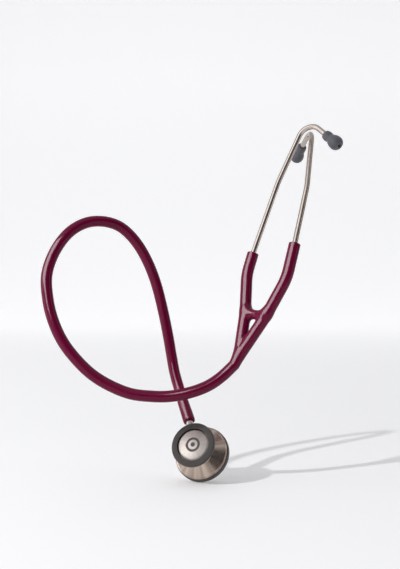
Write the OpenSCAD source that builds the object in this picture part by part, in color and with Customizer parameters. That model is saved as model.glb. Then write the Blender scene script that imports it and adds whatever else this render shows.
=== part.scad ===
// Double-sided acoustic stethoscope, held up by its yoke, with its chestpiece on edge.
// Millimetres. +X is to the right, +Y is away from the front, +Z is up.
// The origin is the bottom of the saddle between the two branches of the yoke.

/* [Chestpiece] */
// Outside diameter of the large rim
large_rim_d = 46; // [45:0.5:49]
// Outside diameter of the small rim
small_rim_d = 36.5; // [36:0.5:38]
// Angle that the chestpiece leans back from lying flat, in degrees
chest_lean = 60; // [50:1:70]
// Turn of the chestpiece about the vertical, in degrees
chest_yaw = -22; // [-30:1:-15]
// Turn of the stem about the chestpiece's own axis, in degrees
chest_roll = 27; // [20:1:35]

/* [Stem] */
// Diameter of the shaft that turns in the chestpiece
stem_d = 6.4; // [6:0.1:6.6]
// Diameter of the sound channel through the stem
stem_bore_d = 3.2; // [2.8:0.1:3.4]
// Radial clearance between the shaft and its bore
stem_clearance = 0.05; // [0.02:0.01:0.1]

/* [Tube and yoke] */
// Outside diameter of the main tube
tube_d = 9.3; // [9:0.1:9.6]
// Outside diameter of the yoke's branches
branch_d = 9.8; // [9.6:0.1:10.2]
// Height above the saddle from which the branches' ends are set
branch_top = 51; // [50:0.5:54]
// Half of the distance between the branches at that height
branch_half_span = 19.5; // [19:0.1:20.5]

/* [Headset] */
// Outside diameter of the ear tubes
ear_tube_d = 4.6; // [4.4:0.1:4.8]
// Height of the ear tubes' tops above branch_top
ear_tube_rise = 119; // [116:1:122]
// Radius of the bend at the top of each ear tube
ear_bend_r = 11; // [9:0.5:12]
// Fore and aft lean of each ear tube, which lets the tips pass each other
ear_lean = 6.5; // [6.5:0.1:7.5]
// Diameter of the ear tip's bulb
tip_bulb_d = 12; // [11.5:0.1:12]
// Diameter of the ear tip's collar
tip_collar_d = 8.4; // [8:0.1:8.6]
// Length of an ear tip
tip_length = 19; // [18:0.5:20]

/* [Hidden] */
$fn = 64;

steel = [0.72, 0.68, 0.65];
burgundy = [0.38, 0.03, 0.16];
rim_grey = [0.36, 0.34, 0.34];
tip_grey = [0.33, 0.33, 0.36];

// Chestpiece, along its own axis from the large side (-) to the small side (+)
chest_centre = [-49, 0, -113];
flange_front = -15.3;          // front of the body's large flange
large_rim_front = -17;
large_rim_back = -11.8;
large_flange_r = large_rim_d / 2 - 1.5;
bead = 0.7;                    // steel edge that stands out behind the large rim
waist_r = 10.6;
waist_low = -4.8;
waist_high = 3;
small_flange_front = 8.4;
small_flange_back = 6.3;
small_rim_front = 10.2;
small_rim_back = 6.5;
small_flange_r = small_rim_d / 2 - 1.35;
small_land_r = 13;             // the disc that shows inside the small rim
small_land_face = 9.8;
large_land_r = large_flange_r - 2.1;
large_land_face = -17.2;
rim_lip = 0.7;
membrane = 0.5;
bowl_depth = 4.6;
channel_d = 3;
boss_d = 10.6;
boss_end = 17.4;
mark_ring = [4, 6];            // inner and outer radius of the inlaid ring
mark_dot = 1.9;
mark_depth = 0.2;

// Stem, along its own axis from the chestpiece's centre outwards
stem_inner_end = -8.2;
stem_bore_end = -8.6;
collar_start = 12.6;
collar_end = 14.2;
collar_d = 8;
nut_d = 8.6;
nut_end = 18.6;
neck_d = 6;
barb_end = 43;
seal_at = [-2.7, 3.6];
seal_r = 0.45;
detent_at = -5.4;
detent_ball_r = 1;
detent_hole_r = 1.05;
detent_gap = 0.03;
track_r = stem_d / 2 - 0.3;    // bottom of the groove that the ball runs in
ball_centre = track_r + detent_ball_r + detent_gap;
plug_from = 7.5;
plug_to = 8.9;
index_at = 21.5;
index_d = 1.8;
index_depth = 0.6;

// Main tube's centreline, from the stem to the neck of the yoke
tube_route = [
    [-55, 15, -94], [-58, 21, -86], [-61, 26, -78], [-64, 32, -69], [-68, 37, -56], [-71, 41, -41],
    [-74, 43, -24], [-79, 44, 0], [-85, 43, 23], [-93, 41, 43], [-103, 38, 59], [-115, 34, 70],
    [-129, 28, 74], [-143, 22, 72], [-156, 15, 63], [-166, 7, 47], [-171, 0, 28], [-169, -5, 8],
    [-164, -9, -9], [-156, -12, -25], [-145, -14, -39], [-132, -16, -51], [-117, -17, -60],
    [-101, -18, -66], [-85, -18, -68], [-70, -18, -68], [-54, -18, -65], [-40, -16, -60],
    [-29, -13, -53], [-19, -10, -44]
];
tube_sides = 12;
pipe_sides = 20;
bore_sides = 14;
bend_step = 9;

// Yoke and headset: x runs from the left ear tube to the right one, z up the middle
head_turn = [-20, 5, -40];
neck_low = tube_route[len(tube_route) - 1];
neck_top = [-15, -8.5, -37];
pivot_x = 10.5;                // where each branch bends on the leaf spring
pivot_z = -4;
knuckle_r = 6.7;
knuckle_gap = 0.3;
leg_over = 8;                  // how far a leg is drawn past its pivot before it is cut
leg_back = 3;                  // how far inside the neck both legs start
leg_cut = 120;                 // sweep of the cut round a pivot, in degrees
neck_swell = 0.3;
yoke_bore_d = ear_tube_d;      // sound channel, which the ear tubes fill at its upper ends
branch_bend_z = 29;
branch_bend_x = 20;
branch_bend_r = 45;
web_low = -9.5;
web_thick = 5.6;
saddle_r = 7;
branch_step = [-3, 8];         // how far the left and the right branch run on past branch_top
socket_depth = 14;
anchor_d = 6.6;
anchor_length = 7;
anchor_drop = 6;               // from the branch's end down to the anchor ring
ear_bore_d = 3.4;
ear_kink_x = 12.6;
ear_kink_z = 61;
ear_kink_r = 80;
ear_cross = 0.8;               // how far past the middle the tops reach
insert_d = 5.4;
insert_length = 10;
tip_wall_bore_d = 5.5;
tip_sound_d = 2.6;
tip_end_gap = 8;               // from the metal tube's end to the tip's end
arm_left = [36.8, 3.8, -24.7]; // from the top of the ear tube to the tip's outer end
arm_right = [-28.7, 27.3, -18.1];

leaf_thick = 0.7;
leaf_width = 4;
leaf_slack = 0.2;
leaf_half = [[0, -5.5], [4, -5.3], [6.6, -3.6], [8, -0.5], [9.3, 4], [14.4, 22]];

overlap = 0.1;                 // how far a cutter runs past a face

// ---- frames and paths ----

function unit(v) = v / norm(v);
function rot_x(a) = [[1, 0, 0], [0, cos(a), -sin(a)], [0, sin(a), cos(a)]];
function rot_y(a) = [[cos(a), 0, sin(a)], [0, 1, 0], [-sin(a), 0, cos(a)]];
function rot_z(a) = [[cos(a), -sin(a), 0], [sin(a), cos(a), 0], [0, 0, 1]];
head_axes = rot_z(head_turn[2]) * rot_y(head_turn[1]) * rot_x(head_turn[0]);
function to_head(p) = [for (i = [0:2]) p[0] * head_axes[0][i] + p[1] * head_axes[1][i] + p[2] * head_axes[2][i]];

// Matrix that puts the origin at o and turns +X, +Y and +Z to x, y and z
function placed(o, x, y, z) = [
    [x[0], y[0], z[0], o[0]], [x[1], y[1], z[1], o[1]], [x[2], y[2], z[2], o[2]], [0, 0, 0, 1]
];
function side_of(z) = unit(cross(abs(z[1]) > 0.9 ? [1, 0, 0] : [0, 1, 0], z));

// Puts its children at a with +Z towards b
module aimed(a, b) {
    z = unit(b - a);
    x = side_of(z);
    multmatrix(placed(a, x, cross(z, x), z)) children();
}

// Points of path p with its inner corners rounded to radii r, in steps of about bend_step degrees
function turn_at(a, b, c) = acos(unit(b - a) * unit(c - b));
function corner_arc(a, b, c, r) = let (
    turn = turn_at(a, b, c),
    way = unit(b - a),
    inward = unit(unit(c - b) - way * (unit(c - b) * way)),
    start = b - way * (r * tan(turn / 2)),
    steps = ceil(turn / bend_step)
) [for (k = [0:steps]) let (t = turn * k / steps) start + (way * sin(t) + inward * (1 - cos(t))) * r];
function rounded_path(p, r) = concat(
    [p[0]],
    [for (i = [1:len(p) - 2]) each corner_arc(p[i - 1], p[i], p[i + 1], r[i - 1])],
    [p[len(p) - 1]]
);

// Closed tube swept along route by rings of straight sides
function heading(p, i) = let (last = len(p) - 1)
    i == 0 ? unit(p[1] - p[0])
    : i == last ? unit(p[last] - p[last - 1])
    : unit(unit(p[i + 1] - p[i]) + unit(p[i] - p[i - 1]));
function level(v, z) = unit(v - z * (v * z));
function ring_sides(p, i) = i == 0
    ? level([1, 0, 0], heading(p, 0))
    : level(ring_sides(p, i - 1), heading(p, i));
function ring_points(p, d, sides) = [
    for (i = [0:len(p) - 1])
        let (z = heading(p, i), x = ring_sides(p, i), y = cross(z, x))
        for (k = [0:sides - 1])
            p[i] + (x * cos(360 * k / sides) + y * sin(360 * k / sides)) * d / 2
];
// Faces between neighbouring rings, the first of which starts at point number first
function ring_walls(rings, sides, first) = [
    for (i = [0:rings - 2], k = [0:sides - 1])
        let (a = first + i * sides + k, b = first + i * sides + (k + 1) % sides)
        each [[a, a + sides, b], [b, a + sides, b + sides]]
];
function flipped(faces) = [for (f = faces) [f[2], f[1], f[0]]];

module swept_tube(p, d, sides) {
    rings = len(p);
    low_end = [for (k = [0:sides - 1]) k];
    high_end = [for (k = [0:sides - 1]) rings * sides - 1 - k];
    polyhedron(
        points = ring_points(p, d, sides),
        faces = concat(ring_walls(rings, sides, 0), [low_end, high_end])
    );
}

// The same with a bore right through
module swept_pipe(p, d, bore, sides) {
    rings = len(p);
    inner = rings * sides;
    ends = [
        for (k = [0:sides - 1])
            let (a = k, b = (k + 1) % sides, e = (rings - 1) * sides)
            each [
                [a, b, inner + a], [b, inner + b, inner + a],
                [e + b, e + a, inner + e + a], [inner + e + b, e + b, inner + e + a]
            ]
    ];
    polyhedron(
        points = concat(ring_points(p, d, sides), ring_points(p, bore, sides)),
        faces = concat(ring_walls(rings, sides, 0), flipped(ring_walls(rings, sides, inner)), ends)
    );
}

// ---- chestpiece, drawn on its own axes ----

// +Z is the chestpiece's axis towards the small side, +Y is the stem
module on_chest() {
    translate(chest_centre)
        rotate([0, 0, chest_yaw]) rotate([chest_lean, 0, 0]) rotate([0, 0, chest_roll]) children();
}

module turned(outline) {
    rotate_extrude() polygon(outline);
}

// Cylinder along the stem's axis between two distances from the centre
module along_stem(from, to, d) {
    translate([0, from, 0]) rotate([-90, 0, 0]) cylinder(h = to - from, d = d);
}

module across_stem(from, to, r, at) {
    translate([from, at, 0]) rotate([0, 90, 0]) cylinder(h = to - from, r = r);
}

module chestpiece_body() {
    color(steel) on_chest() difference() {
        union() {
            turned([
                [0, flange_front], [large_flange_r, flange_front], [large_flange_r, large_rim_back],
                [large_flange_r + bead, large_rim_back + 0.2], [large_flange_r + bead, large_rim_back + 0.8],
                [large_flange_r - 0.4, large_rim_back + 1.2],
                [waist_r + 1, waist_low], [waist_r, waist_low + 1], [waist_r, waist_high],
                [small_flange_r - 0.6, small_flange_back - 0.6], [small_flange_r, small_flange_back],
                [small_flange_r, small_flange_front], [0, small_flange_front]
            ]);
            along_stem(0, boss_end, boss_d);
        }
        // large bowl and small cup
        turned([
            [0, flange_front - overlap], [large_flange_r - 2, flange_front - overlap],
            [large_flange_r - 2, flange_front + 0.4], [3, flange_front + bowl_depth], [0, flange_front + bowl_depth]
        ]);
        turned([
            [0, small_flange_front + overlap], [small_flange_r - 2, small_flange_front + overlap],
            [small_flange_r - 2, small_flange_front - 0.3], [3, small_flange_front - 1.9], [0, small_flange_front - 1.9]
        ]);
        translate([0, 0, flange_front + 1]) cylinder(h = small_flange_front - flange_front - 2, d = channel_d);
        along_stem(stem_bore_end, collar_start, stem_d + 2 * stem_clearance);
        along_stem(collar_start - 0.1, boss_end + overlap, nut_d);
        across_stem(stem_d / 2 - 0.3, waist_r, detent_hole_r, detent_at);
    }
}

// The rims are soft rings snapped over the body's flanges
module large_rim() {
    r = large_rim_d / 2;
    f = large_flange_r;
    color(rim_grey) on_chest() turned([
        [large_land_r + 0.4, large_rim_front], [r - 1, large_rim_front], [r, large_rim_front + 0.9],
        [r, large_rim_back - 0.9], [r - 0.6, large_rim_back], [f, large_rim_back], [f, flange_front],
        [f - 0.5, flange_front], [f - 0.5, large_rim_front + rim_lip],
        [large_land_r + 0.4, large_rim_front + rim_lip]
    ]);
}

module small_rim() {
    r = small_rim_d / 2;
    f = small_flange_r;
    color(rim_grey) on_chest() turned([
        [small_land_r + 0.3, small_rim_front], [r - 0.7, small_rim_front], [r, small_rim_front - 0.7],
        [r, small_rim_back + 0.5], [r - 0.5, small_rim_back], [f, small_rim_back], [f, small_flange_front],
        [f - 1.1, small_flange_front], [f - 1.1, small_rim_front - rim_lip - 0.3],
        [small_land_r + 0.3, small_rim_front - rim_lip - 0.3]
    ]);
}

// The diaphragms are plates with a thin edge, held loosely between a rim's lip and a flange
module large_diaphragm() {
    edge = large_rim_front + rim_lip + 0.1;
    color([0.8, 0.8, 0.78, 0.9]) on_chest() turned([
        [0, large_land_face], [large_land_r - 0.2, large_land_face], [large_land_r, large_land_face + 0.2],
        [large_land_r, edge], [large_flange_r - 0.7, edge], [large_flange_r - 0.7, edge + membrane],
        [large_land_r - 0.6, edge + membrane], [large_land_r - 0.8, large_land_face + membrane + 0.1],
        [0, large_land_face + membrane + 0.1]
    ]);
}

module mark_shape(extra) {
    translate([0, 0, small_land_face - mark_depth]) {
        difference() {
            cylinder(h = mark_depth + extra, r = mark_ring[1]);
            translate([0, 0, -overlap]) cylinder(h = 1, r = mark_ring[0]);
        }
        cylinder(h = mark_depth + extra, r = mark_dot);
    }
}

module small_diaphragm() {
    edge = small_rim_front - rim_lip - 0.4;
    color(steel) on_chest() difference() {
        turned([
            [0, small_land_face], [small_land_r - 0.4, small_land_face], [small_land_r, small_land_face - 0.3],
            [small_land_r, edge], [small_flange_r - 1.3, edge], [small_flange_r - 1.3, edge - 0.35],
            [0, edge - 0.35]
        ]);
        mark_shape(overlap);
    }
}

// Ring and dot inlaid in the middle of the small disc
module disc_mark() {
    color([0.35, 0.32, 0.31]) on_chest() mark_shape(0);
}

module detent_ball() {
    color(steel) on_chest() translate([ball_centre, detent_at, 0]) sphere(r = detent_ball_r);
}

// Coil spring shown as its rings, stacked and joined by their own wire
module detent_spring() {
    wire = 0.3;
    from = ball_centre + detent_ball_r + 0.02;
    turns = 5;
    pitch = (plug_from - from - wire) / (turns - 1);
    color(steel) on_chest() translate([from + wire / 2, detent_at, 0]) rotate([0, 90, 0]) {
        for (i = [0:turns - 1])
            translate([0, 0, i * pitch]) rotate_extrude() translate([0.75, 0]) circle(d = wire);
        translate([0.75, 0, 0]) cylinder(h = pitch * (turns - 1), d = wire);
    }
}

module detent_plug() {
    color(steel) on_chest() difference() {
        across_stem(plug_from, plug_to, detent_hole_r, detent_at);
        translate([plug_to - 0.5, detent_at - 2, -0.2]) cube([1, 4, 0.4]);
    }
}

// Threaded ring that keeps the stem's collar in the boss
module stem_nut() {
    color(steel) on_chest() difference() {
        along_stem(collar_end + 0.15, nut_end, nut_d);
        along_stem(collar_end, nut_end + overlap, stem_d + 2 * stem_clearance);
    }
}

// ---- stem and its parts: these stay still while the chestpiece turns on them ----

module stem() {
    color(steel) on_chest() difference() {
        union() {
            along_stem(stem_inner_end, collar_start + 0.1, stem_d);
            along_stem(collar_start + 0.1, collar_end, collar_d);
            along_stem(collar_end - 0.1, nut_end, stem_d);
            along_stem(nut_end - 0.1, barb_end, neck_d);
            for (at = [29, 34, 39])
                translate([0, at, 0]) rotate([-90, 0, 0]) cylinder(h = 4, d1 = neck_d + 1.2, d2 = neck_d);
        }
        along_stem(-stem_bore_d / 2, barb_end + overlap, stem_bore_d);
        // port towards the large side, which is the side in use
        translate([0, 0, -stem_d]) cylinder(h = stem_d, d = channel_d);
        for (at = seal_at) ring_groove(at, stem_d / 2 - 2 * seal_r, 2 * seal_r);
        ring_groove(detent_at, track_r, 2.2);
        translate([0, index_at, -neck_d / 2 - 1]) cylinder(h = 1 + index_depth, d = index_d);
    }
}

module ring_groove(at, r, width) {
    difference() {
        along_stem(at - width / 2, at + width / 2, stem_d + 1);
        along_stem(at - width, at + width, 2 * r);
    }
}

module stem_seals() {
    color([0.1, 0.1, 0.1]) on_chest() for (at = seal_at)
        translate([0, at, 0]) rotate([-90, 0, 0])
            rotate_extrude() translate([stem_d / 2 - seal_r, 0]) circle(r = seal_r - 0.02);
}

// Filled dot that shows which side is in use
module index_dot() {
    color([0.95, 0.95, 0.95]) on_chest() intersection() {
        translate([0, index_at, -neck_d / 2 - 1]) cylinder(h = 1 + index_depth, d = index_d);
        along_stem(index_at - 2, index_at + 2, neck_d);
    }
}

module main_tube() {
    color(burgundy) swept_tube(tube_route, tube_d, tube_sides);
}

// ---- yoke and headset, drawn on the headset's own axes ----

module on_head() {
    rotate(head_turn) children();
}

function pivot(side) = [side * pivot_x, 0, pivot_z];
function branch_bend(side) = [side * branch_bend_x, 0, branch_bend_z];
function branch_end(side) = let (
    step = branch_step[side < 0 ? 0 : 1],
    slope = (branch_half_span - ear_kink_x) / ear_kink_z
) [side * (branch_half_span - slope * step), 0, branch_top + step];
function branch_path(side) = [pivot(side), branch_bend(side), branch_end(side)];
neck_path = [to_head(neck_low), to_head(neck_top)];
legs_start = neck_path[1] - unit(neck_path[1] - neck_path[0]) * leg_back;

function kink(side) = [side * ear_kink_x, side * ear_lean * ear_kink_z / ear_tube_rise, branch_top + ear_kink_z];
function top(side) = [-side * ear_cross, side * ear_lean, branch_top + ear_tube_rise];
function arm(side) = side < 0 ? arm_left : arm_right;
function tip_end(side) = top(side) + arm(side);
function tube_end(side) = tip_end(side) - unit(arm(side)) * tip_end_gap;
function socket_end(side) =
    branch_end(side) - unit(branch_end(side) - branch_bend(side)) * socket_depth;
function ear_path(side) = [socket_end(side), branch_end(side), kink(side), top(side), tube_end(side)];
ear_radii = [40, ear_kink_r, ear_bend_r];

// Cylinder across the headset at a branch's pivot
module knuckle(side, r) {
    translate(pivot(side)) rotate([90, 0, 0]) cylinder(h = 2 * branch_d, r = r, center = true);
}

// Cuts off what lies beyond a branch's knuckle, up to leg_over past the pivot
module beyond_knuckle(side) {
    up = pivot(side) - legs_start;
    translate(pivot(side)) rotate([90, 0, 0]) rotate([0, 0, atan2(up[2], up[0]) - leg_cut / 2])
        rotate_extrude(angle = leg_cut) translate([knuckle_r, -branch_d]) square([leg_over, 2 * branch_d]);
}

// Neck and both legs, which start inside the slightly thicker neck
module legs(d, sides) {
    swept_tube(neck_path, d + neck_swell, sides);
    for (side = [-1, 1])
        swept_tube([legs_start, pivot(side) + unit(pivot(side) - legs_start) * leg_over], d, sides);
}

// Lower part of the yoke: neck, both legs up to their knuckles, and the web below the saddle
module yoke_core() {
    color(burgundy) on_head() difference() {
        union() {
            legs(branch_d, pipe_sides);
            web();
        }
        legs(yoke_bore_d, bore_sides);
        for (side = [-1, 1]) beyond_knuckle(side);
        leaf_strip(leaf_thick / 2 + leaf_slack, leaf_width + 2 * leaf_slack);
    }
}

module web() {
    rotate([90, 0, 0]) linear_extrude(web_thick, center = true) difference() {
        translate([-pivot_x, web_low]) square([2 * pivot_x, -web_low + 1.2]);
        translate([0, saddle_r]) circle(r = saddle_r);
    }
}

// Outline of the leaf spring: half given, the other half mirrored, thickened along its normals
leaf_path = concat(
    [for (i = [len(leaf_half) - 1:-1:1]) [-leaf_half[i][0], leaf_half[i][1]]],
    leaf_half
);
function leaf_normal(i) = let (
    a = leaf_path[max(i - 1, 0)],
    b = leaf_path[min(i + 1, len(leaf_path) - 1)],
    d = unit(b - a)
) [-d[1], d[0]];
function leaf_edge(offset_by) = [for (i = [0:len(leaf_path) - 1]) leaf_path[i] + leaf_normal(i) * offset_by];

module leaf_strip(half_thick, width) {
    outline = concat(leaf_edge(half_thick), [
        for (i = [len(leaf_path) - 1:-1:0]) leaf_path[i] - leaf_normal(i) * half_thick
    ]);
    rotate([90, 0, 0]) linear_extrude(width, center = true) polygon(outline);
}

module leaf_spring() {
    color(steel) on_head() leaf_strip(leaf_thick / 2, leaf_width);
}

// Upper part of the yoke, on one ear tube
module branch(side) {
    color(burgundy) on_head() difference() {
        swept_pipe(rounded_path(branch_path(side), [branch_bend_r]), branch_d, yoke_bore_d, pipe_sides);
        knuckle(side, knuckle_r + knuckle_gap);
        anchor_place(side) cylinder(h = anchor_length, d = anchor_d);
        leaf_strip(leaf_thick / 2 + leaf_slack, leaf_width + 2 * leaf_slack);
    }
}

// +Z along the socket, with z = 0 at the anchor ring's lower face
module anchor_place(side) {
    up = unit(branch_end(side) - branch_bend(side));
    low = branch_end(side) - up * (anchor_drop + anchor_length);
    aimed(low, branch_end(side)) children();
}

// Bent steel tube from the branch to the ear tip
module ear_tube(side) {
    color(steel) on_head()
        swept_pipe(rounded_path(ear_path(side), ear_radii), ear_tube_d, ear_bore_d, pipe_sides);
}

// Barbed ring pressed on the ear tube, which the branch is moulded over
module anchor_ring(side) {
    color(steel) on_head() anchor_place(side) difference() {
        cylinder(h = anchor_length, d = anchor_d);
        translate([0, 0, -overlap]) cylinder(h = anchor_length + 2 * overlap, d = ear_tube_d);
    }
}

// +Z points out of the ear, with z = 0 at the ear tip's outer end
module tip_place(side) {
    aimed(tip_end(side), top(side)) children();
}

// Hard sleeve on the end of the ear tube, which the ear tip snaps over
module tip_insert(side) {
    color([0.2, 0.2, 0.22]) on_head() tip_place(side) difference() {
        translate([0, 0, tip_length - insert_length]) cylinder(h = insert_length, d = insert_d);
        cylinder(h = 2 * tip_length, d = ear_tube_d);
    }
}

// Soft tip: a bulb, a waist and a collar
module ear_tip(side) {
    bulb = tip_bulb_d / 2;
    collar = tip_collar_d / 2;
    color(tip_grey) on_head() tip_place(side) difference() {
        union() {
            translate([0, 0, bulb * 0.93]) sphere(d = tip_bulb_d);
            translate([0, 0, bulb * 1.3]) cylinder(h = 6, r1 = bulb * 0.92, r2 = collar * 0.93);
            translate([0, 0, tip_length - 7]) cylinder(h = 5.8, r = collar);
            translate([0, 0, tip_length - 1.2]) cylinder(h = 1.2, r1 = collar, r2 = collar - 0.7);
        }
        translate([0, 0, tip_end_gap - 0.3]) cylinder(h = tip_length, d = tip_wall_bore_d);
        translate([0, 0, -1]) cylinder(h = tip_length, d = tip_sound_d);
    }
}

chestpiece_body();
large_rim();
large_diaphragm();
small_rim();
small_diaphragm();
disc_mark();
detent_ball();
detent_spring();
detent_plug();
stem_nut();
stem();
stem_seals();
index_dot();
main_tube();
yoke_core();
leaf_spring();
branch(-1);  // left_branch
ear_tube(-1);  // left_ear_tube
anchor_ring(-1);  // left_anchor_ring
tip_insert(-1);  // left_tip_insert
ear_tip(-1);  // left_ear_tip
branch(1);  // right_branch
ear_tube(1);  // right_ear_tube
anchor_ring(1);  // right_anchor_ring
tip_insert(1);  // right_tip_insert
ear_tip(1);  // right_ear_tip
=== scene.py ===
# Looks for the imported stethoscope. Shapes are given in millimetres and made in metres.
# The chestpiece is drawn about its own axis: +Z to the small side, +Y along the stem.
# The headset is drawn upright: x from the left ear tube to the right one, z up the middle.
import math

import bmesh
import bpy
import numpy as np
from mathutils import Matrix, Vector


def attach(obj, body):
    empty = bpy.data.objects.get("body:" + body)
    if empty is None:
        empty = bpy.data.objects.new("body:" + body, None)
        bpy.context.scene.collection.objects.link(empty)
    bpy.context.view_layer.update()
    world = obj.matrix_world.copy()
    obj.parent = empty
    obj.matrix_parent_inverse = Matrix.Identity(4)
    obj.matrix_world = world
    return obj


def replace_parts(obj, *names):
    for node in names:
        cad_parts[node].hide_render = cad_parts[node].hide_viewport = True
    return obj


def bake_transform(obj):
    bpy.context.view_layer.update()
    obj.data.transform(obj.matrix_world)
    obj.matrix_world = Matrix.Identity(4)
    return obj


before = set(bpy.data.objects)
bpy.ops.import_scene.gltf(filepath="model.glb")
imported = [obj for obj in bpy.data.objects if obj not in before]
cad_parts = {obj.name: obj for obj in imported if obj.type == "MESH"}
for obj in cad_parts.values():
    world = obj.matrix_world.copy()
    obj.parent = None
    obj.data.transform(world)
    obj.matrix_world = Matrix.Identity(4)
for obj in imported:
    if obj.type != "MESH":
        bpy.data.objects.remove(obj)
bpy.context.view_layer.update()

MM = 0.001
ROUND = 96  # sides of a turned piece

# ---- the frame's measures, as in the CAD source ----

CHEST_CENTRE = (-49, 0, -113)
CHEST_YAW, CHEST_LEAN, CHEST_ROLL = -22, 60, 27
HEAD_TURN = (-20, 5, -40)
FLOOR_Z = -141.0

TUBE_D = 9.3
BRANCH_R = 4.9
EAR_TUBE_R = 2.3
TUBE_ROUTE = [
    (-55, 15, -94), (-58, 21, -86), (-61, 26, -78), (-64, 32, -69), (-68, 37, -56), (-71, 41, -41),
    (-74, 43, -24), (-79, 44, 0), (-85, 43, 23), (-93, 41, 43), (-103, 38, 59), (-115, 34, 70),
    (-129, 28, 74), (-143, 22, 72), (-156, 15, 63), (-166, 7, 47), (-171, 0, 28), (-169, -5, 8),
    (-164, -9, -9), (-156, -12, -25), (-145, -14, -39), (-132, -16, -51), (-117, -17, -60),
    (-101, -18, -66), (-85, -18, -68), (-70, -18, -68), (-54, -18, -65), (-40, -16, -60),
    (-29, -13, -53), (-19, -10, -44),
]
NECK_TOP = (-15, -8.5, -37)
PIVOT = (10.5, 0, -4)
BRANCH_BEND = (20, 0, 29)
BRANCH_TOP = 51
BRANCH_ENDS = {-1: (19.84, 0, 48), 1: (18.59, 0, 59)}
BRANCH_BEND_R = 45
SOCKET_DEPTH = 14
EAR_RISE = 119
EAR_LEAN = 6.5
EAR_CROSS = 0.8
EAR_KINK = (12.6, 61)
EAR_KINK_R = 80
EAR_BEND_R = 11
ARMS = {-1: (36.8, 3.8, -24.7), 1: (-28.7, 27.3, -18.1)}
TIP_END_GAP = 8


def turned_by(axis, degrees):
    return Matrix.Rotation(math.radians(degrees), 4, axis)


HEAD = turned_by("Z", HEAD_TURN[2]) @ turned_by("Y", HEAD_TURN[1]) @ turned_by("X", HEAD_TURN[0])
CHEST = (
    Matrix.Translation(Vector(CHEST_CENTRE) * MM)
    @ turned_by("Z", CHEST_YAW) @ turned_by("X", CHEST_LEAN) @ turned_by("Z", CHEST_ROLL)
)


def vec(*p):
    return np.array(p, float)


def unit(v):
    return v / np.linalg.norm(v)


def to_head(p):
    return np.array(HEAD.to_3x3().transposed() @ Vector(p))


# ---- paths ----

def smooth_line(points, per):
    """Catmull-Rom curve through the points, with per steps between neighbours."""
    p = np.array(points, float)
    p = np.vstack([2 * p[0] - p[1], p, 2 * p[-1] - p[-2]])
    line = []
    for i in range(1, len(p) - 2):
        a, b, c, d = p[i - 1 : i + 3]
        for t in np.arange(per) / per:
            line.append(0.5 * (2 * b + (c - a) * t + (2 * a - 5 * b + 4 * c - d) * t**2
                               + (3 * b - a - 3 * c + d) * t**3))
    line.append(p[-2])
    return np.array(line)


def rounded_path(points, radii, step=2.0):
    """The points with each inner corner replaced by an arc, in steps of step degrees."""
    p = [np.array(x, float) for x in points]
    line = [p[0]]
    for a, b, c, r in zip(p, p[1:], p[2:], radii):
        u, v = unit(b - a), unit(c - b)
        turn = math.acos(np.clip(u @ v, -1, 1))
        inward = unit(v - u * (u @ v))
        start = b - u * r * math.tan(turn / 2)
        steps = max(2, math.ceil(math.degrees(turn) / step))
        for t in np.linspace(0, turn, steps + 1):
            line.append(start + r * (u * math.sin(t) + inward * (1 - math.cos(t))))
    line.append(p[-1])
    return np.array(line)


def evenly(line, step):
    """The line again, with points about step apart."""
    line = np.asarray(line, float)
    along = np.concatenate([[0], np.cumsum(np.linalg.norm(np.diff(line, axis=0), axis=1))])
    at = np.linspace(0, along[-1], max(2, round(along[-1] / step) + 1))
    return np.stack([np.interp(at, along, line[:, k]) for k in range(3)], axis=1)


def frames(line):
    """For each point of a line its direction and two sides, carried along without twist."""
    ways = np.gradient(line, axis=0)
    ways /= np.linalg.norm(ways, axis=1)[:, None]
    side = unit(np.cross(ways[0], vec(0.31, 0.95, 0.05)))
    out = []
    for way in ways:
        side = unit(side - way * (side @ way))
        out.append((way, side, np.cross(way, side)))
    return out


# ---- meshes ----

def ring_faces(rings, sides, first=0):
    return [
        (first + i * sides + k, first + i * sides + (k + 1) % sides,
         first + (i + 1) * sides + (k + 1) % sides, first + (i + 1) * sides + k)
        for i in range(rings - 1) for k in range(sides)
    ]


def swept(line, radii, sides):
    """Points and faces of a tube round a line, with a radius for each point."""
    angles = np.linspace(0, 2 * math.pi, sides, endpoint=False)
    points = []
    for (way, x, y), centre, r in zip(frames(line), line, radii):
        points += [centre + r * (x * math.cos(a) + y * math.sin(a)) for a in angles]
    return points, ring_faces(len(line), sides)


def bevelled(profile):
    """A closed outline of (radius, height, rounding) with arcs at its rounded corners."""
    out = []
    count = len(profile)
    for i, corner in enumerate(profile):
        b = vec(*corner[:2])
        r = corner[2] if len(corner) > 2 else 0
        if not r:
            out.append(b)
            continue
        a, c = vec(*profile[i - 1][:2]), vec(*profile[(i + 1) % count][:2])
        u, v = unit(b - a), unit(c - b)
        turn = math.acos(np.clip(u @ v, -1, 1))
        back = min(r * math.tan(turn / 2), 0.48 * np.linalg.norm(b - a), 0.48 * np.linalg.norm(c - b))
        fit = back / math.tan(turn / 2)
        inward = unit(v - u * (u @ v))
        for t in np.linspace(0, turn, 7):
            out.append(b - u * back + fit * (u * math.sin(t) + inward * (1 - math.cos(t))))
    return out


def lathe(profile, sides=ROUND):
    """Points and faces of a closed outline of (radius, height) turned about +Z."""
    outline = bevelled(profile)
    points = []
    for k in range(sides):
        a = 2 * math.pi * k / sides
        points += [vec(r * math.cos(a), r * math.sin(a), z) for r, z in outline]
    n = len(outline)
    faces = [
        (k * n + i, ((k + 1) % sides) * n + i, ((k + 1) % sides) * n + (i + 1) % n, k * n + (i + 1) % n)
        for k in range(sides) for i in range(n)
    ]
    return points, faces


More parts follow.
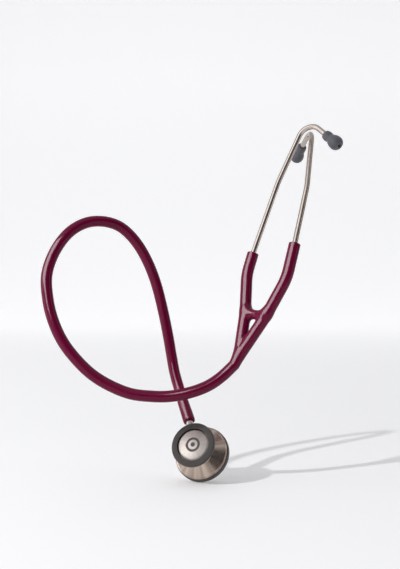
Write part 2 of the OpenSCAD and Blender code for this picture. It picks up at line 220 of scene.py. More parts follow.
def add_turned_uv(bm):
    """Texture coordinates of a turned piece: u round its axis, v along its outline."""
    layer = bm.loops.layers.uv.new("turned")
    for face in bm.faces:
        middle = face.calc_center_median()
        start = math.atan2(middle.y, middle.x)
        for loop in face.loops:
            x, y, z = loop.vert.co
            r = math.hypot(x, y)
            away = math.atan2(y, x) - start if r > 1e-6 else 0
            away = (away + math.pi) % (2 * math.pi) - math.pi
            loop[layer].uv = ((start + away) / (2 * math.pi), (0.9 * r + 0.43 * z) / MM)


def piece(name, shape, body, slot, mat, place=None, sharp=32, stands_for=(), turned=False):
    """A mesh of points in millimetres, put in place, that rides on a body."""
    points, faces = shape
    mesh = bpy.data.meshes.new(name)
    mesh.from_pydata([tuple(np.asarray(p) * MM) for p in points], [], faces)
    bm = bmesh.new()
    bm.from_mesh(mesh)
    bmesh.ops.remove_doubles(bm, verts=bm.verts, dist=2e-6)
    bmesh.ops.dissolve_degenerate(bm, edges=bm.edges, dist=1e-7)
    bmesh.ops.recalc_face_normals(bm, faces=bm.faces)
    if turned:
        add_turned_uv(bm)
    if place is not None:
        bm.transform(place)
    bm.to_mesh(mesh)
    bm.free()
    mesh.shade_smooth()
    mesh.set_sharp_from_angle(angle=math.radians(sharp))
    obj = bpy.data.objects.new(name, mesh)
    bpy.context.scene.collection.objects.link(obj)
    mesh.materials.append(mat)
    if body:
        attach(obj, body)
    if stands_for:
        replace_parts(obj, *stands_for)
    return obj


def aimed(a, b):
    """Matrix in metres that puts the origin at a, in millimetres on the headset, with +Z to b."""
    z = Vector(unit(np.array(b, float) - np.array(a, float)))
    turn = z.to_track_quat("Z", "Y").to_matrix().to_4x4()
    return HEAD @ Matrix.Translation(Vector(a) * MM) @ turn


# ---- camera, which looks along +Y ----

def make_camera():
    data = bpy.data.cameras.new("camera")
    data.lens = 50
    data.sensor_width = 36
    data.clip_start = 0.01
    data.clip_end = 50
    cam = bpy.data.objects.new("camera", data)
    cam.location = (-0.0463, -0.643, 0.0204)
    cam.rotation_euler = (math.radians(90), 0, 0)
    bpy.context.scene.collection.objects.link(cam)
    bpy.context.scene.camera = cam


make_camera()

# ---- materials ----


class Nodes:
    """A new material's node tree, with its Principled shader."""

    def __init__(self, name, color, roughness, metallic=0.0, **sockets):
        self.mat = bpy.data.materials.new(name)
        self.mat.use_nodes = True
        self.tree = self.mat.node_tree
        self.shader = self.tree.nodes["Principled BSDF"]
        self.set("Base Color", (*color, 1))
        self.set("Roughness", roughness)
        self.set("Metallic", metallic)
        for key, value in sockets.items():
            self.set(key.replace("_", " ").title().replace("Ior", "IOR"), value)
        self.where = self.add("ShaderNodeTexCoord").outputs["Object"]

    def set(self, socket, value):
        self.shader.inputs[socket].default_value = value

    def add(self, kind, **values):
        node = self.tree.nodes.new(kind)
        for key, value in values.items():
            setattr(node, key, value)
        return node

    def link(self, a, b):
        self.tree.links.new(a, b)

    def noise(self, scale, detail=3.0, stretch=(1, 1, 1), where=None):
        """Noise of about 1 / scale metres, squeezed along the axes by stretch."""
        placed = self.add("ShaderNodeMapping")
        placed.inputs["Scale"].default_value = stretch
        self.link(where or self.where, placed.inputs["Vector"])
        noise = self.add("ShaderNodeTexNoise")
        noise.inputs["Scale"].default_value = scale
        noise.inputs["Detail"].default_value = detail
        self.link(placed.outputs["Vector"], noise.inputs["Vector"])
        return noise.outputs["Fac"]

    def ramp(self, value, low, high, a=0.35, b=0.65):
        """Number or colour that goes from low to high as value goes from a to b."""
        ramp = self.add("ShaderNodeValToRGB")
        for stop, at, c in zip(ramp.color_ramp.elements, (a, b), (low, high)):
            stop.position = at
            stop.color = (c, c, c, 1) if isinstance(c, (int, float)) else (*c, 1)
        self.link(value, ramp.inputs["Fac"])
        return ramp.outputs["Color"]

    def rough(self, value, low, high):
        self.link(self.ramp(value, low, high), self.shader.inputs["Roughness"])

    def colour(self, value, low, high):
        self.link(self.ramp(value, low, high), self.shader.inputs["Base Color"])

    def bump(self, value, height_mm, strength=1.0):
        bump = self.add("ShaderNodeBump")
        bump.inputs["Distance"].default_value = height_mm * MM
        bump.inputs["Strength"].default_value = strength
        self.link(value, bump.inputs["Height"])
        self.link(bump.outputs["Normal"], self.shader.inputs["Normal"])

    def round_axis(self):
        """Point on a unit circle that goes once round with a turned piece's u."""
        uv = self.add("ShaderNodeUVMap", uv_map="turned")
        u = self.add("ShaderNodeSeparateXYZ")
        circle = self.add("ShaderNodeCombineXYZ")
        self.link(uv.outputs["UV"], u.inputs["Vector"])
        angle = self.add("ShaderNodeMath", operation="MULTIPLY")
        angle.inputs[1].default_value = 2 * math.pi
        self.link(u.outputs["X"], angle.inputs[0])
        for axis, wave in (("X", "COSINE"), ("Y", "SINE")):
            turn = self.add("ShaderNodeMath", operation=wave)
            self.link(angle.outputs["Value"], turn.inputs[0])
            self.link(turn.outputs["Value"], circle.inputs[axis])
        return circle.outputs["Vector"]

    def turned_finish(self):
        """Highlights of a face that was turned on a lathe, whose u runs round its axis."""
        tangent = self.add("ShaderNodeTangent", direction_type="UV_MAP", uv_map="turned")
        self.link(tangent.outputs["Tangent"], self.shader.inputs["Tangent"])


def tube_material():
    m = Nodes("burgundy_tube", (0.120, 0.0012, 0.026), 0.15)
    m.set("Specular IOR Level", 0.2)
    m.colour(m.noise(25, 2), (0.112, 0.0010, 0.024), (0.128, 0.0014, 0.029))
    m.rough(m.noise(160, 3), 0.10, 0.14)
    m.bump(m.noise(700, 2), 0.006, 0.25)
    return m.mat


def ear_steel_material():
    m = Nodes("ear_tube_steel", (0.48, 0.42, 0.38), 0.2, 1.0)
    m.colour(m.noise(70, 3), (0.46, 0.40, 0.36), (0.50, 0.44, 0.40))
    m.rough(m.noise(200, 4), 0.18, 0.21)
    return m.mat


def turned_steel_material(name, color, low, high, anisotropic, painted_reflection=0.07):
    """Steel with fine turning marks that give its highlights their direction; its colour is painted a
    little darker and lighter in streaks out from its axis, a painted reflection of turned metal's wedge
    highlights.
    """
    m = Nodes(name, color, low, 1.0, anisotropic=anisotropic)
    m.turned_finish()
    # painted reflection: the base colour goes darker and lighter in streaks round the axis
    value = m.noise(3.2, 2, where=m.round_axis())
    dark = tuple(c * (1 - painted_reflection) for c in color)
    light = tuple(min(1, c * (1 + painted_reflection)) for c in color)
    m.colour(value, dark, light)
    m.rough(m.noise(350, 5), low, high)
    return m.mat


def plain_steel_material():
    m = Nodes("plain_steel", (0.52, 0.50, 0.48), 0.25, 1.0)
    m.colour(m.noise(300), (0.48, 0.46, 0.44), (0.56, 0.54, 0.52))
    m.rough(m.noise(900, 3, (1, 1, 6)), 0.2, 0.32)
    return m.mat


def rubber_material(name, color, low=0.42, high=0.56, grain=1300, depth=0.012):
    m = Nodes(name, color, 0.5)
    m.set("Specular IOR Level", 0.45)
    m.colour(m.noise(150, 4), tuple(c * 0.9 for c in color), tuple(c * 1.12 for c in color))
    m.rough(m.noise(500, 4), low, high)
    m.bump(m.noise(grain, 4), depth, 0.5)
    return m.mat


def painted_material(name, color, low, high):
    m = Nodes(name, color, low)
    m.colour(m.noise(300, 3), tuple(c * 0.9 for c in color), tuple(c * 1.1 for c in color))
    m.rough(m.noise(700, 4), low, high)
    m.bump(m.noise(1500, 3), 0.006, 0.4)
    return m.mat


tube_mat = tube_material()
ear_steel = ear_steel_material()
# the cone's colour carries strong painted reflection streaks, the other two weak ones
cone_steel = turned_steel_material("cone_steel", (0.50, 0.40, 0.335), 0.17, 0.22, 0.8, 0.3)
bright_steel = turned_steel_material("bright_steel", (0.46, 0.43, 0.41), 0.08, 0.14, 0.3)
disc_steel = turned_steel_material("disc_steel", (0.50, 0.45, 0.42), 0.33, 0.38, 0.3, 0.06)
plain_steel = plain_steel_material()
rim_rubber = rubber_material("rim_rubber", (0.058, 0.051, 0.049))
tip_rubber = rubber_material("tip_rubber", (0.075, 0.075, 0.088), 0.34, 0.46)
seal_rubber = rubber_material("seal_rubber", (0.02, 0.02, 0.02))
insert_plastic = painted_material("insert_plastic", (0.05, 0.05, 0.055), 0.35, 0.45)
mark_paint = painted_material("mark_enamel", (0.085, 0.075, 0.070), 0.4, 0.5)
index_paint = painted_material("index_enamel", (0.85, 0.85, 0.83), 0.3, 0.4)
membrane_plastic = painted_material("membrane_plastic", (0.72, 0.72, 0.69), 0.28, 0.36)

# ---- main tube ----

BULGE_LENGTH = 26  # stretch of the tube that is swollen by the stem inside it
BULGE = 0.42
LIP = 0.35  # how much thinner the tube gets at its very end
LIP_LENGTH = 1.2
TUBE_STEP = 1.5
TUBE_SIDES = 48
MOUTH = ((4.4, -0.18), (3.6, -0.2), (3.2, 0.1), (3.05, 1.5))  # radius and depth of the end face's rings


def tube_radius(s):
    """Radius of the tube at s millimetres from its end on the stem."""
    swell = BULGE * (0.5 + 0.5 * math.cos(math.pi * min(s / BULGE_LENGTH, 1)))
    lip = LIP * max(0, 1 - s / LIP_LENGTH) ** 2
    return TUBE_D / 2 + swell - lip


def make_tube():
    line = evenly(smooth_line(TUBE_ROUTE, 8), TUBE_STEP)
    along = np.arange(len(line)) * TUBE_STEP
    sides = TUBE_SIDES
    points, faces = swept(line, [tube_radius(s) for s in along], sides)
    # the end face and the mouth round the stem
    way, start = unit(line[1] - line[0]), line[0]
    outer = [np.array(p) for p in points[:sides]]
    last = list(range(sides))
    for radius, inset in MOUTH:
        first = len(points)
        points += [start + way * inset + unit(p - start) * radius for p in outer]
        now = list(range(first, first + sides))
        faces += [(last[k], now[k], now[(k + 1) % sides], last[(k + 1) % sides]) for k in range(sides)]
        last = now
    tube = piece("tube", (points, faces), "root", "tube_rubber", tube_mat, sharp=50,
                 stands_for=["main_tube"])


make_tube()

# ---- yoke: one smooth moulding, split down the middle into a left and a right half ----

VOXEL = 0.5
LEG_BLEND = 1.6  # fillet between the two legs
WEB_BLEND = 4.5  # fillet between the web and the branches
WEB_POINTS = [(-9.5, 0, -2.4), (-6, 0, -3.8), (0, 0, -4.5), (6, 0, -3.8), (9.5, 0, -2.4)]
WEB_R = 4
END_OVER = 3  # how far the moulding runs past a branch's end before it is cut
NECK_LENGTH = 12
NECK_RADII = [40, 60]  # of the bends at the neck and at the knuckle
ROUGH_SIDES = 24
END_RINGS = (
    (4.86, -0.4), (4.76, -0.2), (4.6, -0.06), (4.4, 0), (2.9, 0), (2.6, -0.12), (2.45, -0.4), (2.4, -3),
)  # radius and height of the rings from a branch's edge into its hole


def on_side(p, side):
    return vec(side * p[0], p[1], p[2])


def branch_line(side):
    """Centreline from the tube's last point up through one branch."""
    low, top = to_head(TUBE_ROUTE[-1]), to_head(NECK_TOP)
    before = low - unit(top - low) * 1.5
    pivot, bend, end = (on_side(p, side) for p in (PIVOT, BRANCH_BEND, BRANCH_ENDS[side]))
    over = end + unit(end - bend) * END_OVER
    return rounded_path([before, top, pivot, bend, over], [*NECK_RADII, BRANCH_BEND_R])


def neck_radius(line):
    """The neck grows smoothly from the tube's radius to the branches'."""
    along = np.concatenate([[0], np.cumsum(np.linalg.norm(np.diff(line, axis=0), axis=1))])
    t = np.clip(along / NECK_LENGTH, 0, 1)
    low = TUBE_D / 2 - 0.04
    return low + (BRANCH_R - low) * t * t * (3 - 2 * t)


def tube_distance(p, line, radii):
    """Distance from each point to the surface of a tube round the line."""
    best = np.full(len(p), 1e9)
    for a, b, ra, rb in zip(line, line[1:], radii, radii[1:]):
        d = b - a
        t = np.clip((p - a) @ d / (d @ d), 0, 1)
        away = np.linalg.norm(p - a - t[:, None] * d, axis=1) - (ra + (rb - ra) * t)
        best = np.minimum(best, away)
    return best


def merged(a, b, k):
    """Smaller of two distances, with a fillet of about k where they are alike."""
    h = np.clip(k - np.abs(a - b), 0, None) / k
    return np.minimum(a, b) - h * h * k / 4


class Yoke:
    def __init__(self):
        self.lines = {side: branch_line(side) for side in (-1, 1)}
        self.radii = {side: neck_radius(self.lines[side]) for side in (-1, 1)}
        self.web = smooth_line(WEB_POINTS, 5)
        self.web_radii = [WEB_R] * len(self.web)
        self.neck_z = to_head(NECK_TOP)[2]

    def distance(self, p):
        legs = [tube_distance(p, self.lines[s], self.radii[s]) for s in (-1, 1)]
        rise = np.clip((p[:, 2] - self.neck_z + 4) / 14, 0, 1)
        both = merged(*legs, 0.02 + LEG_BLEND * rise)
        return merged(both, tube_distance(p, self.web, self.web_radii), WEB_BLEND)

    def normals(self, p, step=0.02):
        grad = np.zeros_like(p)
        for k in range(3):
            ahead, behind = p.copy(), p.copy()
            ahead[:, k] += step
            behind[:, k] -= step
            grad[:, k] = (self.distance(ahead) - self.distance(behind)) / (2 * step)
        return grad

    def settled(self, p):
        """Points moved on to the surface."""
        for _ in range(3):
            grad = self.normals(p)
            p = p - grad * (self.distance(p) / np.maximum((grad**2).sum(1), 0.1))[:, None]
        return p

    def rough_mesh(self):
        """The same shape, remeshed from its parts."""
        bm = bmesh.new()
        for line, radii in (
            (self.lines[-1], self.radii[-1]), (self.lines[1], self.radii[1]), (self.web, self.web_radii)
        ):
            points, faces = swept(line, radii, ROUGH_SIDES)
            verts = [bm.verts.new(p) for p in points]
            for f in faces:
                bm.faces.new([verts[i] for i in f])
            bm.faces.new(verts[:ROUGH_SIDES][::-1])
            bm.faces.new(verts[-ROUGH_SIDES:])
        bmesh.ops.recalc_face_normals(bm, faces=bm.faces)
        mesh = bpy.data.meshes.new("yoke_rough")
        bm.to_mesh(mesh)
        bm.free()
        obj = bpy.data.objects.new("yoke_rough", mesh)
        bpy.context.scene.collection.objects.link(obj)
        remesh = obj.modifiers.new("remesh", "REMESH")
        remesh.mode = "VOXEL"
        remesh.voxel_size = VOXEL
        made = bpy.data.meshes.new_from_object(obj.evaluated_get(bpy.context.evaluated_depsgraph_get()))
        points = np.array([v.co for v in made.vertices], float)
        faces = [tuple(f.vertices) for f in made.polygons]
        bpy.data.objects.remove(obj)
        bpy.data.meshes.remove(made)
        return points, faces


def cut_away(bm, centre, way):
    """Removes what lies beyond the plane through centre, on the side that way points to."""
    bmesh.ops.bisect_plane(
        bm, geom=bm.verts[:] + bm.edges[:] + bm.faces[:], plane_co=centre, plane_no=way,
        dist=1e-5, clear_outer=True, clear_inner=False,
    )


def close_branch(bm, centre, way):
    """Cuts a branch's end flat, with a rounded edge and a hole for the ear tube."""
    near = []
    for f in bm.faces:
        away = vec(*f.calc_center_median()) - centre
        if away @ way > -6 and np.linalg.norm(away) < 14:
            near.append(f)
    geom = list(dict.fromkeys(g for f in near for g in (*f.verts, *f.edges, f)))
    cut = bmesh.ops.bisect_plane(
        bm, geom=geom, plane_co=centre - way * 0.55, plane_no=way, dist=1e-5, clear_outer=True,
    )
    edges = [e for e in cut["geom_cut"] if isinstance(e, bmesh.types.BMEdge)]
    for radius, depth in END_RINGS:
        made = bmesh.ops.extrude_edge_only(bm, edges=edges)["geom"]
        for v in (g for g in made if isinstance(g, bmesh.types.BMVert)):
            p = vec(*v.co) - centre
            out = p - way * (p @ way)
            v.co = centre + unit(out) * radius + way * depth
        edges = [g for g in made if isinstance(g, bmesh.types.BMEdge) and g.is_boundary]


def bend_with_headset(obj):
    """Bakes the piece's placement into its mesh."""
    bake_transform(obj)


def whole_yoke(yoke):
    """The moulding in one piece, with its neck and its branches' ends cut."""
    points, faces = yoke.rough_mesh()
    points = yoke.settled(points)
    whole = bmesh.new()
    verts = [whole.verts.new(p) for p in points]
    for f in faces:
        whole.faces.new([verts[i] for i in f])
    low = to_head(TUBE_ROUTE[-1])
    geom = whole.verts[:] + whole.edges[:] + whole.faces[:]
    neck = unit(to_head(NECK_TOP) - low)
    bmesh.ops.bisect_plane(whole, geom=geom, plane_co=low - neck * 0.8, plane_no=neck, dist=1e-5,
                           clear_inner=True)
    for side in (-1, 1):
        end, bend = on_side(BRANCH_ENDS[side], side), on_side(BRANCH_BEND, side)
        close_branch(whole, end, unit(end - bend))
    return whole


def in_fixed_order(bm):
    """Points and faces sorted by place, because Blender's cuts list them differently from run to run."""
    verts = sorted(bm.verts, key=lambda v: tuple(v.co))
    index = {v: i for i, v in enumerate(verts)}
    faces = sorted(tuple(index[v] for v in f.verts) for f in bm.faces)
    return np.array([v.co for v in verts], float), faces


def make_yoke_half(yoke, whole, side, name):
    half = whole.copy()
    cut_away(half, (0, 0, 0), (-side, 0, 0))
    made, faces = in_fixed_order(half)
    half.free()
    # exact normals where a vertex lies on the moulding's surface, Blender's own at the cuts
    grad = yoke.normals(made)
    size = np.linalg.norm(grad, axis=1)
    on_it = (np.abs(yoke.distance(made)) < 0.03) & (size > 0.5)
    normals = np.where(on_it[:, None], grad / np.maximum(size, 0.1)[:, None], 0)
    mesh = bpy.data.meshes.new(f"yoke_{name}")
    mesh.from_pydata([tuple(p * MM) for p in made], [], faces)
    mesh.transform(HEAD)
    mesh.shade_smooth()
    turn = np.array(HEAD.to_3x3(), float)
    mesh.normals_split_custom_set_from_vertices([tuple(n) for n in normals @ turn.T])
    obj = bpy.data.objects.new(f"yoke_{name}", mesh)
    bpy.context.scene.collection.objects.link(obj)
    mesh.materials.append(tube_mat)
    bend_with_headset(obj)
    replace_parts(obj, *([f"{name}_branch", "yoke_core"] if side < 0 else [f"{name}_branch"]))


def make_yoke():
    yoke = Yoke()
    whole = whole_yoke(yoke)
    for side, name in ((-1, "left"), (1, "right")):
        make_yoke_half(yoke, whole, side, name)
    whole.free()


make_yoke()

# ---- leaf spring inside the yoke, in two halves ----

LEAF_HALF = [(0, -5.5), (4, -5.3), (6.6, -3.6), (8, -0.5), (9.3, 4), (14.4, 22)]
LEAF_BENDS = [3, 3, 10, 10]  # radii at the inner corners
LEAF_THICK = 0.7
LEAF_WIDTH = 4
LEAF_BEVEL = 0.12
LEAF_STEP = 0.7


def make_leaf_half(side, name):
    path = rounded_path([(side * x, 0, z) for x, z in LEAF_HALF], LEAF_BENDS)
    line = evenly(path, LEAF_STEP)
    ways = np.gradient(line, axis=0)
    thick, wide = LEAF_THICK / 2, LEAF_WIDTH / 2
    section = [(thick - LEAF_BEVEL, wide), (thick, wide - LEAF_BEVEL)]
    section += [(a, -b) for a, b in section[::-1]]
    section += [(-a, -b) for a, b in section]
    points = []
    for centre, way in zip(line, ways):
        out = unit(np.cross(way, vec(0, 1, 0)))
        points += [centre + out * a + vec(0, b, 0) for a, b in section]
    sides = len(section)
    faces = ring_faces(len(line), sides)
    faces += [tuple(range(sides))[::-1], tuple(range(len(points) - sides, len(points)))]
    leaf = piece(f"leaf_{name}", (points, faces), None, None, plain_steel, place=HEAD)
    bend_with_headset(leaf)
    return leaf


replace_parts(make_leaf_half(-1, "left"), "leaf_spring")
make_leaf_half(1, "right")

# ---- ear tubes and tips ----

SOCKET_BEND_R = 40  # where the ear tube leaves its branch
EAR_STEP = 1.2
EAR_SIDES = 40


def tip_ends(side):
    """Top of the ear tube's bend and the outer end of its tip."""
    top = vec(-side * EAR_CROSS, side * EAR_LEAN, BRANCH_TOP + EAR_RISE)
    return top, top + vec(*ARMS[side])


def make_ear_tube(side, name):
    end, bend = on_side(BRANCH_ENDS[side], side), on_side(BRANCH_BEND, side)
    socket = end - unit(end - bend) * SOCKET_DEPTH
    top, tip = tip_ends(side)
    kink = vec(side * EAR_KINK[0], side * EAR_LEAN * EAR_KINK[1] / EAR_RISE, BRANCH_TOP + EAR_KINK[1])
    stop = tip - unit(tip - top) * TIP_END_GAP
    line = rounded_path([socket, end, kink, top, stop], [SOCKET_BEND_R, EAR_KINK_R, EAR_BEND_R], 1.5)
    line = evenly(line, EAR_STEP)
    points, faces = swept(line, [EAR_TUBE_R] * len(line), EAR_SIDES)
    piece(f"{name}_ear_pipe", (points, faces), f"{name}_headset", "ear_tube_steel", ear_steel,
          place=HEAD, stands_for=[f"{name}_ear_tube"])


TIP_PROFILE = [
    (1.3, 2.5), (1.3, 0.55, 0.35), (2.3, 0.05, 0.6), (3.4, 0.45, 1.2), (4.9, 1.7, 2.0), (5.85, 3.6, 2.4),
    (6.0, 5.6, 2.6), (5.75, 7.8, 2.4), (4.95, 10.2, 2.2), (4.05, 12.1, 1.6), (4.05, 13.0, 1.0),
    (4.35, 14.2, 1.2), (4.35, 16.6, 1.6), (3.95, 18.5, 0.9), (3.2, 19.0, 0.4), (2.45, 19.0, 0.25),
    (2.4, 17),
]


def make_ear_tip(side, name):
    top, tip = tip_ends(side)
    piece(f"{name}_tip", lathe(TIP_PROFILE), f"{name}_tip", "ear_tip_rubber", tip_rubber,
          place=aimed(tip, top), sharp=50, stands_for=[f"{name}_ear_tip"], turned=True)


for side, name in ((-1, "left"), (1, "right")):
    make_ear_tube(side, name)
    make_ear_tip(side, name)

# ---- chestpiece ----

ALONG_STEM = CHEST @ turned_by("X", -90)  # +Z along the stem


def chest_piece(name, profile, body, slot, mat, stands_for=(), place=CHEST, **more):
    return piece(name, lathe(profile), body, slot, mat, place=place, stands_for=stands_for, turned=True,
                 **more)


BODY = [
    (0, -14.2), (21.4, -14.2), (21.5, -11.9), (22.2, -11.75, 0.2), (22.25, -11.1, 0.25),
    (21.2, -10.75, 0.3), (20.9, -10.5, 0.3), (12.3, -5.3, 1.5), (10.6, -3.6, 1.2),
    (10.6, 2.2, 1.2), (15.6, 5.4, 1.0), (16.6, 6.0, 0.3), (16.8, 8), (0, 8),
]
LARGE_RIM = [
    (19.8, -17.0, 0.3), (22.1, -17.0, 0.8), (23.0, -16.1, 0.8), (23.0, -12.6, 0.9), (22.4, -11.8, 0.35),
    (21.6, -11.8), (21.6, -15.4), (21.2, -16.3), (19.8, -16.3),
]
SMALL_RIM = [
    (13.35, 10.05, 0.25), (15.4, 10.2, 2.0), (17.4, 10.12, 0.6), (18.25, 9.4, 0.6), (18.25, 7.2, 0.6),
    (17.7, 6.5, 0.3), (16.9, 6.5), (16.9, 9.1), (13.35, 9.1),
]
LARGE_DISC = [
    (0, -17.2), (19.1, -17.2, 0.25), (19.4, -16.95, 0.15), (19.4, -16.2), (20.7, -16.2), (20.7, -15.8),
    (0, -15.8),
]
DOME_R = 110  # radius of the small disc's dome
DOME_TOP = 9.8
GROOVE = 0.16  # depth of the grooves that the mark lies in
INLAY_TOP, INLAY_BACK = 0.12, 0.2  # how far below the dome the mark's face and back lie


def dome(r):
    """Height of the small disc's face at radius r."""
    return DOME_TOP - r * r / (2 * DOME_R)


def disc_outline():
    """The small disc's face with grooves for the dot and the ring, then its edge and back."""
    face = [(r, dome(r) - GROOVE) for r in (0, 0.6, 1.2, 1.86)] + [(1.94, dome(1.94))]
    face += [(r, dome(r)) for r in (2.6, 3.3, 3.96)]
    face += [(r, dome(r) - GROOVE) for r in (4.04, 5, 5.96)] + [(6.04, dome(6.04))]
    face += [(r, dome(r)) for r in np.arange(6.6, 12.1, 0.6)]
    return face + [(12.4, 8.9, 0.1), (12.95, 8.7), (12.95, 8.5), (0, 8.5)]


def inlay(inner, outer):
    """Filled stretch of the disc's face between two radii."""
    top = [(r, dome(r) - INLAY_TOP) for r in np.linspace(inner, outer, 6)]
    return top + [(r, dome(r) - INLAY_BACK) for r in (outer, inner)]


BOSS = [(3.3, 8.0), (5.3, 8.0), (5.3, 16.9, 0.3), (4.9, 17.4, 0.15), (4.35, 17.4), (4.35, 15), (3.3, 15)]
NUT = [(3.2, 14.4), (4.25, 14.4), (4.25, 18.2, 0.3), (3.8, 18.6, 0.15), (3.2, 18.6)]
STEM = [
    (1.6, -1.6), (3.2, -8), (3.2, 12.6), (4.0, 12.6), (4.0, 14.2), (3.15, 14.2), (3.15, 18.9, 0.2),
    (2.85, 19.3, 0.2), (2.85, 20.0, 0.2), (3.0, 20.3, 0.2), (3.0, 29), (3.5, 29), (3.0, 33), (3.0, 34),
    (3.5, 34), (3.0, 38), (3.0, 39), (3.5, 39), (3.0, 43), (1.6, 43),
]


def make_chestpiece():
    chest_piece("chest_body", BODY, "chestpiece", "chestpiece_steel", cone_steel, ["chestpiece_body"])
    chest_piece("chest_boss", BOSS, "chestpiece", "chestpiece_steel", bright_steel, place=ALONG_STEM)
    chest_piece("large_rim_ring", LARGE_RIM, "chestpiece", "rim_rubber", rim_rubber, ["large_rim"])
    chest_piece("small_rim_ring", SMALL_RIM, "chestpiece", "rim_rubber", rim_rubber, ["small_rim"])
    chest_piece("large_disc", LARGE_DISC, "large_membrane", "diaphragm_plastic", membrane_plastic,
                ["large_diaphragm"])
    chest_piece("small_disc", disc_outline(), "small_membrane", "disc_steel", disc_steel,
                ["small_diaphragm"])
    chest_piece("mark_dot", inlay(0, 1.88), "small_membrane", "mark_enamel", mark_paint, ["disc_mark"])
    chest_piece("mark_ring", inlay(4.02, 5.98), "small_membrane", "mark_enamel", mark_paint)
    chest_piece("nut_ring", NUT, "chestpiece", "chestpiece_steel", bright_steel, ["stem_nut"],
                place=ALONG_STEM)
    chest_piece("stem_pipe", STEM, "root", "chestpiece_steel", bright_steel, ["stem"], place=ALONG_STEM)


make_chestpiece()

# ---- CAD nodes that stay ----

KEPT = {
    "detent_ball": plain_steel, "detent_spring": plain_steel, "detent_plug": plain_steel,
    "stem_seals": seal_rubber, "index_dot": index_paint,
    "left_anchor_ring": plain_steel, "right_anchor_ring": plain_steel,
    "left_tip_insert": insert_plastic, "right_tip_insert": insert_plastic,
}
for name, mat in KEPT.items():
    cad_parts[name].material_slots[0].material = mat

# ---- stage, room and lights, which are matched to the photograph ----

PAPER_GLOW = (0.09, 0.38)  # light that the paper gives off at the near and at the far end
GLOW_SPAN = (0.2, 2.4)  # metres behind the origin between which it rises

ROOM = (0.96, 0.97, 1, 1)
OPENING = (0.10, 0.096, 0.10, 1)
OPENING_AT = (0.80, -0.60, 0.10)
OPENING_FLATNESS = 2.2
OPENING_EDGE = (0.32, 0.55)
ROOM_STRENGTH = 0.68

LIT_AT = (-0.05, 0.05, -0.05)  # point that every light faces
KEY_AT = (-1.45, -0.90, 1.10)


def make_stage():
    """A pale floor that curves up into a backdrop."""
    near, far, rise, wide, bend = -3.0, 2.2, 4.0, 8.0, 1.2
    outline = [(near, 0.0), (0.0, 0.0), (far, 0.0)]
    for t in np.linspace(0, math.pi / 2, 24)[1:]:
        outline.append((far + bend * math.sin(t), bend * (1 - math.cos(t))))
    outline.append((far + bend, rise))
    points = [(x / MM, y / MM, z / MM + FLOOR_Z) for x in (-wide, wide) for y, z in outline]
    n = len(outline)
    faces = [(i, n + i, n + i + 1, i + 1) for i in range(n - 1)]
    m = Nodes("paper", (0.86, 0.86, 0.865), 0.9)
    m.set("Specular IOR Level", 0.1)
    m.rough(m.noise(40, 3), 0.85, 0.95)
    # it glows a little more towards the far end and the top of the backdrop
    along = m.add("ShaderNodeVectorMath", operation="DOT_PRODUCT")
    along.inputs[1].default_value = (0, 1, 0.3)
    glow = m.add("ShaderNodeMapRange")
    for socket, value in zip(("From Min", "From Max", "To Min", "To Max"), (*GLOW_SPAN, *PAPER_GLOW)):
        glow.inputs[socket].default_value = value
    m.link(m.where, along.inputs[0])
    m.link(along.outputs["Value"], glow.inputs["Value"])
    m.link(glow.outputs["Result"], m.shader.inputs["Emission Strength"])
    m.set("Emission Color", (1, 1, 1, 1))
    stage = piece("stage", (points, faces), None, None, m.mat, sharp=60)


def add_light(name, place, size, power, color=(1, 1, 1), disk=False, shine=True, diffuse=True, only=()):
    """Area light; only names the pieces it lights, and shine and diffuse say in which way."""
    data = bpy.data.lights.new(name, "AREA")
    data.shape = "DISK" if disk else "RECTANGLE"
    data.size = size[0]
    if not disk:
        data.size_y = size[1]
    data.energy = power
    data.color = color
    obj = bpy.data.objects.new(name, data)
    obj.location = place
    obj.rotation_euler = (Vector(LIT_AT) - Vector(place)).to_track_quat("-Z", "Y").to_euler()
    obj.visible_glossy = shine
    obj.visible_diffuse = diffuse
    bpy.context.scene.collection.objects.link(obj)
    if only:
        lit = bpy.data.collections.new(f"lit_by_{name}")
        for piece_name in only:
            lit.objects.link(bpy.data.objects[piece_name])
        obj.light_linking.receiver_collection = lit


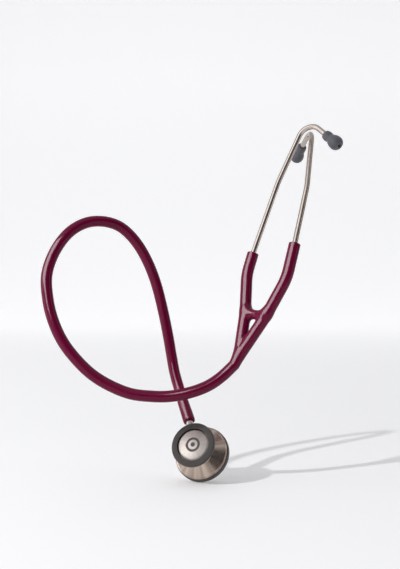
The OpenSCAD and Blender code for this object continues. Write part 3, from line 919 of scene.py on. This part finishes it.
def make_world():
    """A white room with a low dark opening to the front right."""
    world = bpy.data.worlds.new("world")
    world.use_nodes = True
    tree = world.node_tree
    where = tree.nodes.new("ShaderNodeTexCoord")
    low = tree.nodes.new("ShaderNodeVectorMath")
    low.operation = "MULTIPLY"
    low.inputs[1].default_value = (1, 1, OPENING_FLATNESS)
    level = tree.nodes.new("ShaderNodeVectorMath")
    level.operation = "NORMALIZE"
    facing = tree.nodes.new("ShaderNodeVectorMath")
    facing.operation = "DOT_PRODUCT"
    facing.inputs[1].default_value = Vector(OPENING_AT).normalized()
    ramp = tree.nodes.new("ShaderNodeValToRGB")
    bright, dark = ramp.color_ramp.elements
    bright.position, bright.color = OPENING_EDGE[0], ROOM
    dark.position, dark.color = OPENING_EDGE[1], OPENING
    tree.links.new(where.outputs["Generated"], low.inputs[0])
    tree.links.new(low.outputs["Vector"], level.inputs[0])
    tree.links.new(level.outputs["Vector"], facing.inputs[0])
    tree.links.new(facing.outputs["Value"], ramp.inputs["Fac"])
    tree.links.new(ramp.outputs["Color"], tree.nodes["Background"].inputs["Color"])
    tree.nodes["Background"].inputs["Strength"].default_value = ROOM_STRENGTH
    bpy.context.scene.world = world
    bpy.context.scene.view_settings.view_transform = "Standard"


def make_lights():
    """The key gives light and shadow but no reflection; three others only shine on named pieces."""
    burgundy = ("tube", "yoke_left", "yoke_right")
    spotted = ("small_disc", "chest_body", "left_tip", "right_tip")
    ear_pipes = ("left_ear_pipe", "right_ear_pipe")
    add_light("key", KEY_AT, (0.05, 0.05), 22, disk=True, shine=False)
    add_light("tube_box", (-1.17, -1.03, 1.21), (1.9, 1.4), 125, diffuse=False, only=burgundy)
    add_light("disc_spot", KEY_AT, (0.05, 0.05), 3, disk=True, diffuse=False, only=spotted)
    add_light("ear_box", (-1.3, -1.0, 1.2), (1.0, 1.4), 8, diffuse=False, only=ear_pipes)
    add_light("left_box", (-1.9, -0.25, 0.35), (0.5, 1.6), 5)
    add_light("right_strip", (1.5, -0.4, 0.5), (0.2, 1.6), 2.5, color=(1, 0.94, 0.87))


make_stage()
make_world()
make_lights()
